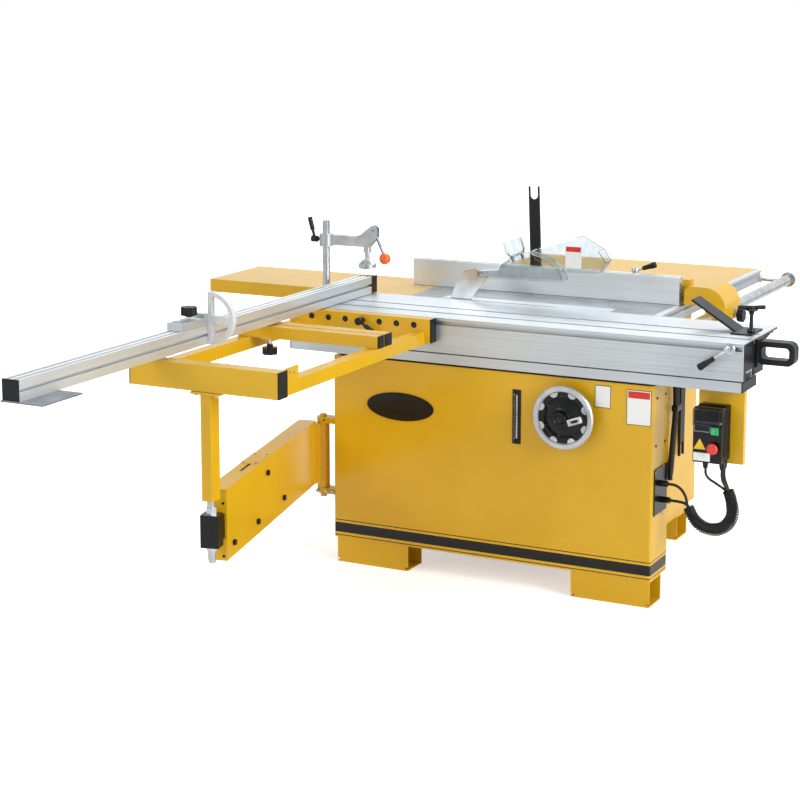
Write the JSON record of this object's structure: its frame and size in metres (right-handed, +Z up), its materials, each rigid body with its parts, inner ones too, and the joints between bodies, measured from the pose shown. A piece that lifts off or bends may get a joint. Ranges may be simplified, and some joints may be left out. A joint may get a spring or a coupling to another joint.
{
  "type": "panel saw",
  "caption": "Panel saw with sliding table, outrigger on a swing arm, crosscut and rip fences, hold-down clamp and clear blade guard",
  "frame": {"origin": "on the floor, at the middle of the whole machine's footprint", "axes": "+X along the sliding table towards the operator's end, +Y from the handwheel side back across the machine, +Z up"},
  "size_m": [2.29, 3.215, 1.2665],
  "materials": {
    "yellow_enamel": "gloss enamel",
    "anodised_aluminium": "clear anodised extrusion",
    "ground_iron": "ground and oiled",
    "turned_steel": "turned, bright zinc",
    "black_nylon": "moulded nylon",
    "orange_grip": "gloss moulded",
    "stop_plate": "cast and machined",
    "clear_guard": "clear polycarbonate",
    "cable_rubber": "matt sheath",
    "cast_iron_inside": "painted casting",
    "green_button": "gloss moulded",
    "red_button": "gloss moulded"
  },
  "bodies": {
    "frame": {"front_cabinet": "yellow_enamel", "feet": "yellow_enamel", "rear_cabinet": "yellow_enamel", "beam_trim": "black_nylon", "slide_beam": "anodised_aluminium", "main_table": "ground_iron", "table_insert": "turned_steel", "outfeed_table": "yellow_enamel", "rip_extension_table": "yellow_enamel", "scale_rail": "anodised_aluminium", "guide_bar": "turned_steel", "cable_fittings": "yellow_enamel", "arm_hinge": "yellow_enamel", "switch_bracket": "yellow_enamel", "switch_box": "black_nylon", "conduit": "black_nylon", "cables": "cable_rubber", "push_stick": "black_nylon", "trunnion": "cast_iron_inside", "riving_knife": "turned_steel"},
    "table": {"sliding_table": "anodised_aluminium", "table_end_caps": "black_nylon", "push_handle": "black_nylon", "outrigger_frame": "yellow_enamel", "fence_support": "yellow_enamel", "edging_shoe": "turned_steel"},
    "table_lock_lever_body": {"table_lock_lever": "black_nylon"},
    "outrigger_lever_body": {"outrigger_lever": "black_nylon"},
    "shoe_handle_body": {"shoe_handle": "turned_steel"},
    "stop_knob_body": {"stop_knob": "black_nylon"},
    "flip_stop_body": {"flip_stop": "stop_plate"},
    "fence_clamp_body": {"fence_clamp": "black_nylon"},
    "clamp_column_body": {"clamp_column": "turned_steel"},
    "clamp_arm_body": {"clamp_arm": "anodised_aluminium"},
    "clamp_arm_lever_body": {"clamp_arm_lever": "black_nylon"},
    "clamp_screw_body": {"clamp_screw": "turned_steel"},
    "clamp_cam_lever_body": {"clamp_cam_lever": "orange_grip"},
    "swing_arm_body": {"swing_arm": "yellow_enamel"},
    "arm_extension_body": {"arm_extension": "black_nylon"},
    "handwheel_body": {"handwheel": "turned_steel"},
    "handwheel_crank_body": {"handwheel_crank": "turned_steel"},
    "saw_blade_body": {"saw_blade": "turned_steel"},
    "motor_pulley_body": {"motor_pulley": "cast_iron_inside"},
    "rip_fence_body": {"rip_fence": "anodised_aluminium", "stick_holder": "yellow_enamel"},
    "fence_carriage_body": {"fence_carriage": "yellow_enamel"},
    "fence_lock_lever_body": {"fence_lock_lever": "black_nylon"},
    "carriage_knob_body": {"carriage_knob": "black_nylon"},
    "guard_hood_body": {"guard_hood": "clear_guard"},
    "start_button_body": {"start_button": "green_button"},
    "stop_button_body": {"stop_button": "red_button"},
    "switch_flap_body": {"switch_flap": "clear_guard"},
    "crosscut_body": {"crosscut_fence": "anodised_aluminium", "crosscut_fence_ends": "black_nylon"},
    "stop_body": {"stop_carriage": "stop_plate"},
    "post_body": {"support_post": "yellow_enamel", "support_screw": "turned_steel"},
    "lift_body": {"blade_carriage": "cast_iron_inside", "motor": "cast_iron_inside", "drive_belt": "black_nylon"}
  },
  "joints": [
    {"name": "table_slide", "type": "slide", "parent": "frame", "child": "table", "axis": [1, 0, 0], "range_m": [-0.6, 0.6]},
    {"name": "table_lock_turn", "type": "hinge", "parent": "table", "child": "table_lock_lever_body", "pos_m": [0.978, 0.0665, 0.872], "axis": [0, -1, 0], "range_deg": [-40, 50]},
    {"name": "outrigger_lever_turn", "type": "hinge", "parent": "table", "child": "outrigger_lever_body", "pos_m": [-0.2835, 0.0265, 0.866], "axis": [0, -1, 0], "range_deg": [-90, 90]},
    {"name": "shoe_handle_turn", "type": "hinge", "parent": "table", "child": "shoe_handle_body", "pos_m": [0.987, 0.2545, 0.974], "axis": [0, 0, 1], "continuous": true},
    {"name": "crosscut_swing", "type": "hinge", "parent": "table", "child": "crosscut_body", "pos_m": [-0.4695, 0.2545, 0.889], "axis": [0, 0, 1], "range_deg": [-2, 30]},
    {"name": "fence_clamp_slide", "type": "slide", "parent": "table", "child": "fence_clamp_body", "axis": [1, 0, 0], "range_m": [-0.02, 0.3]},
    {"name": "stop_slide", "type": "slide", "parent": "crosscut_body", "child": "stop_body", "axis": [0, 1, 0], "range_m": [-0.7, 0.75]},
    {"name": "stop_knob_turn", "type": "hinge", "parent": "stop_body", "child": "stop_knob_body", "pos_m": [-0.4695, -0.7395, 1], "axis": [0, 0, 1], "continuous": true},
    {"name": "stop_flip", "type": "hinge", "parent": "stop_body", "child": "flip_stop_body", "pos_m": [-0.4585, -0.6685, 0.969], "axis": [0, -1, 0], "range_deg": [0, 95]},
    {"name": "column_swivel", "type": "hinge", "parent": "table", "child": "clamp_column_body", "pos_m": [-0.546, 0.2545, 0.9], "axis": [0, 0, 1], "range_deg": [-60, 20]},
    {"name": "clamp_height", "type": "slide", "parent": "clamp_column_body", "child": "clamp_arm_body", "axis": [0, 0, 1], "range_m": [-0.04, 0.04]},
    {"name": "clamp_arm_lever_turn", "type": "hinge", "parent": "clamp_arm_body", "child": "clamp_arm_lever_body", "pos_m": [-0.585, 0.2545, 1.095], "axis": [-1, 0, 0], "range_deg": [-60, 60]},
    {"name": "clamp_press", "type": "slide", "parent": "clamp_arm_body", "child": "clamp_screw_body", "axis": [0, 0, 1], "range_m": [0, 0.02]},
    {"name": "cam_lever_turn", "type": "hinge", "parent": "clamp_arm_body", "child": "clamp_cam_lever_body", "pos_m": [-0.37464, 0.28471, 1.134], "axis": [0.1736, -0.9848, 0], "range_deg": [0, 100]},
    {"name": "arm_swing", "type": "hinge", "parent": "frame", "child": "swing_arm_body", "pos_m": [-0.485, 0.1165, 0.364], "axis": [0, 0, 1], "range_deg": [-24.1, 24.1]},
    {"name": "arm_reach", "type": "slide", "parent": "swing_arm_body", "child": "arm_extension_body", "axis": [0.2246, -0.9744, 0], "range_m": [-0.02, 0.25]},
    {"name": "post_swivel", "type": "hinge", "parent": "arm_extension_body", "child": "post_body", "pos_m": [-0.29948, -0.89672, 0.45], "axis": [0, 0, 1], "range_deg": [-24.1, 24.1]},
    {"name": "blade_lift", "type": "slide", "parent": "frame", "child": "lift_body", "axis": [0, 0, 1], "range_m": [0, 0.1]},
    {"name": "handwheel_turn", "type": "hinge", "parent": "frame", "child": "handwheel_body", "pos_m": [0.443, 0.0765, 0.606], "axis": [0, -1, 0], "range_deg": [0, 3600]},
    {"name": "crank_fold", "type": "hinge", "parent": "handwheel_body", "child": "handwheel_crank_body", "pos_m": [0.525, -0.0245, 0.602], "axis": [0, 0, 1], "range_deg": [0, 90]},
    {"name": "blade_spin", "type": "hinge", "parent": "lift_body", "child": "saw_blade_body", "pos_m": [0.075, 0.4435, 0.725], "axis": [0, 1, 0], "continuous": true},
    {"name": "motor_spin", "type": "hinge", "parent": "lift_body", "child": "motor_pulley_body", "pos_m": [0.345, 0.5065, 0.52], "axis": [0, 1, 0], "continuous": true},
    {"name": "rip_slide", "type": "slide", "parent": "frame", "child": "fence_carriage_body", "axis": [0, 1, 0], "range_m": [-0.17, 0.7]},
    {"name": "rip_fence_slide", "type": "slide", "parent": "fence_carriage_body", "child": "rip_fence_body", "axis": [1, 0, 0], "range_m": [-0.25, 0.01]},
    {"name": "fence_lock_turn", "type": "hinge", "parent": "fence_carriage_body", "child": "fence_lock_lever_body", "pos_m": [0.425, 0.7205, 0.98], "axis": [0, 0, 1], "range_deg": [-90, 90]},
    {"name": "carriage_knob_turn", "type": "hinge", "parent": "fence_carriage_body", "child": "carriage_knob_body", "pos_m": [0.775, 0.7765, 0.852], "axis": [1, 0, 0], "continuous": true},
    {"name": "guard_lift", "type": "hinge", "parent": "frame", "child": "guard_hood_body", "pos_m": [-0.029, 0.4435, 0.982], "axis": [0, -1, 0], "range_deg": [0, 45]},
    {"name": "start_press", "type": "slide", "parent": "frame", "child": "start_button_body", "axis": [0, 1, 0], "range_m": [0, 0.004], "stiffness_N_per_m": 400},
    {"name": "stop_press", "type": "slide", "parent": "frame", "child": "stop_button_body", "axis": [0, 1, 0], "range_m": [0, 0.005], "stiffness_N_per_m": 400},
    {"name": "flap_lift", "type": "hinge", "parent": "frame", "child": "switch_flap_body", "pos_m": [0.92, 0.043, 0.68], "axis": [-1, 0, 0], "range_deg": [0, 100], "stiffness_Nm_per_rad": 0.02}
  ],
  "couplings": [
    {"joint": "arm_swing", "follows": "table_slide", "rad_per_m": 0.7},
    {"joint": "post_swivel", "follows": "table_slide", "rad_per_m": -0.7},
    {"joint": "fence_clamp_slide", "follows": "crosscut_swing", "m_per_rad": 0.55},
    {"joint": "cam_lever_turn", "follows": "clamp_press", "rad_per_m": 87},
    {"joint": "handwheel_turn", "follows": "blade_lift", "rad_per_m": 628},
    {"joint": "motor_spin", "follows": "blade_spin", "ratio": 1}
  ]
}
